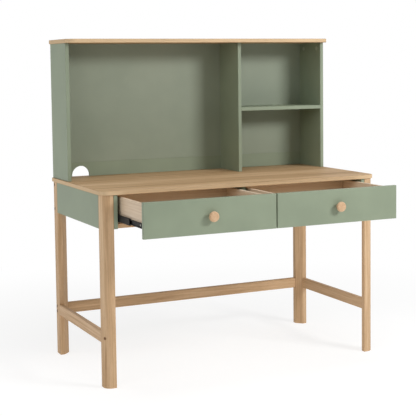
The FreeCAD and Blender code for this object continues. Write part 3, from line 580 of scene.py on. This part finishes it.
def slide_balls(drawer, side, way):
    """Steel balls in a slide's two retainers: the outer rows run at its rear, the inner ones at its front.

    way is 1 or -1, the way along X from the wall that carries the slide to the drawer.
    """
    stem = f"{drawer}_drawer_{side}_"
    low, high = (Vector(corner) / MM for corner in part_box(stem + "slide_ball_retainers"))
    wall = (low.x if way > 0 else high.x) - way * RETAINER_FROM_WALL
    middle = (low.z + high.z) / 2
    margin = (RETAINER_LENGTH - BALL_PITCH * (BALLS_PER_ROW - 1)) / 2
    mesh = bmesh.new()
    for (out, height), start in ((OUTER_BALLS, high.y - RETAINER_LENGTH), (INNER_BALLS, low.y)):
        for number in range(BALLS_PER_ROW):
            for level in (middle - height, middle + height):
                spot = Vector((wall + way * out, start + margin + number * BALL_PITCH, level)) * MM
                bmesh.ops.create_uvsphere(mesh, u_segments=BALL_SEGMENTS, v_segments=BALL_RINGS,
                                          radius=BALL_RADIUS * MM, matrix=Matrix.Translation(spot))
    finish_piece(mesh, stem + "slide_balls", zinc, stem + "middle_member", "ball_steel")


for drawer, outer_way in (("left", 1), ("right", -1)):
    turned_knob(drawer)
    slide_balls(drawer, "outer", outer_way)
    slide_balls(drawer, "inner", -outer_way)
frame_bolts()
cam_caps()


# ---- studio ---------------------------------------------------------------------------------

WHITE = (1, 1, 1, 1)


def seen_directly(material):
    """One for the camera and for what metal or a gloss mirrors, and nothing for light on the desk."""
    rays = add_node(material, "ShaderNodeLightPath").outputs
    mirrored = add_node(material, "ShaderNodeMath",
                        {0: rays["Is Glossy Ray"], 1: rays["Is Transmission Ray"]}, operation="MAXIMUM")
    return add_node(material, "ShaderNodeMath", {0: rays["Is Camera Ray"], 1: mirrored.outputs["Value"]},
                    operation="MAXIMUM").outputs["Value"]


def studio_floor():
    """Pale floor that keeps the desk's shadow near it and fades to the white background."""
    material, place = new_material("studio_floor")
    away = add_node(material, "ShaderNodeVectorMath", {0: place}, operation="LENGTH").outputs["Value"]
    near, far = SHADOW_FADE
    share = add_node(material, "ShaderNodeMapRange",
                     {"Value": away, "From Min": near, "From Max": far, "To Min": FLOOR_SHADOW,
                      "To Max": 0.0}, interpolation_type="SMOOTHSTEP").outputs["Result"]
    pale = add_node(material, "ShaderNodeBsdfDiffuse", {"Color": (FLOOR_TONE,) * 3 + (1.0,)})
    back = add_node(material, "ShaderNodeBsdfDiffuse", {"Color": (FLOOR_BOUNCE,) * 3 + (1.0,)})
    glow = add_node(material, "ShaderNodeEmission", {"Color": WHITE, "Strength": FLOOR_GLOW})
    bounce = add_node(material, "ShaderNodeAddShader", {0: back.outputs[0], 1: glow.outputs[0]})
    white = add_node(material, "ShaderNodeEmission", {"Color": WHITE, "Strength": 1.0})
    lift = add_node(material, "ShaderNodeEmission", {"Color": WHITE, "Strength": FLOOR_LIFT})
    shaded = add_node(material, "ShaderNodeAddShader", {0: pale.outputs[0], 1: lift.outputs[0]})
    seen = add_node(material, "ShaderNodeMixShader", {0: share, 1: white.outputs[0], 2: shaded.outputs[0]})
    whole = add_node(material, "ShaderNodeMixShader", {0: seen_directly(material), 1: bounce.outputs[0],
                                                       2: seen.outputs[0]})
    add_node(material, "ShaderNodeOutputMaterial", {"Surface": whole.outputs[0]})
    mesh = bmesh.new()
    bmesh.ops.create_grid(mesh, x_segments=1, y_segments=1, size=FLOOR_SIZE / 2)
    floor = bpy.data.objects.new("studio_floor", bpy.data.meshes.new("studio_floor"))
    mesh.to_mesh(floor.data)
    mesh.free()
    bpy.context.collection.objects.link(floor)
    floor.data.materials.append(material)


def studio_room():
    """White surroundings for what the camera sees, and an even low light from all round."""
    world = bpy.data.worlds.new("studio_room")
    world.use_nodes = True
    world.node_tree.nodes.clear()
    seen = add_node(world, "ShaderNodeMath", {0: seen_directly(world), 1: ROOM_LIGHT}, operation="MAXIMUM")
    sky = add_node(world, "ShaderNodeBackground", {"Color": WHITE, "Strength": seen.outputs["Value"]})
    add_node(world, "ShaderNodeOutputWorld", {"Surface": sky.outputs[0]})
    bpy.context.scene.world = world


def softbox(name, place, width, height, power):
    """Oblong area light that looks at the middle of the desk, its width level."""
    lamp = bpy.data.lights.new(name, "AREA")
    lamp.shape = "RECTANGLE"
    lamp.size = width
    lamp.size_y = height
    lamp.energy = power
    holder = bpy.data.objects.new(name, lamp)
    holder.location = place
    holder.visible_camera = False
    holder.rotation_mode = "QUATERNION"
    holder.rotation_quaternion = (place - (cad_low + cad_high) / 2).to_track_quat("Z", "Y")
    bpy.context.collection.objects.link(holder)


def aim_camera():
    """Camera with its optical axis above the frame's middle."""
    lens = bpy.data.cameras.new("camera")
    lens.sensor_width = SENSOR_WIDTH
    lens.lens = FOCAL_PIXELS / FRAME_PIXELS * SENSOR_WIDTH
    lens.shift_y = -OPTICAL_CENTRE_LIFT / FRAME_PIXELS
    camera = bpy.data.objects.new("camera", lens)
    bpy.context.collection.objects.link(camera)
    camera.matrix_world = (Matrix.Translation(Vector(CAMERA_PLACE) * MM)
                           @ Matrix.Rotation(-CAMERA_TURN, 4, "Z")
                           @ Matrix.Rotation(math.pi / 2 - CAMERA_DIP, 4, "X")
                           @ Matrix.Rotation(CAMERA_ROLL, 4, "Z"))
    bpy.context.scene.camera = camera


studio_floor()
studio_room()
for name, place, width, height, power in SOFTBOXES:
    softbox(name, Vector(place) * MM, width, height, power)
aim_camera()
bpy.context.scene.view_settings.view_transform = "Standard"
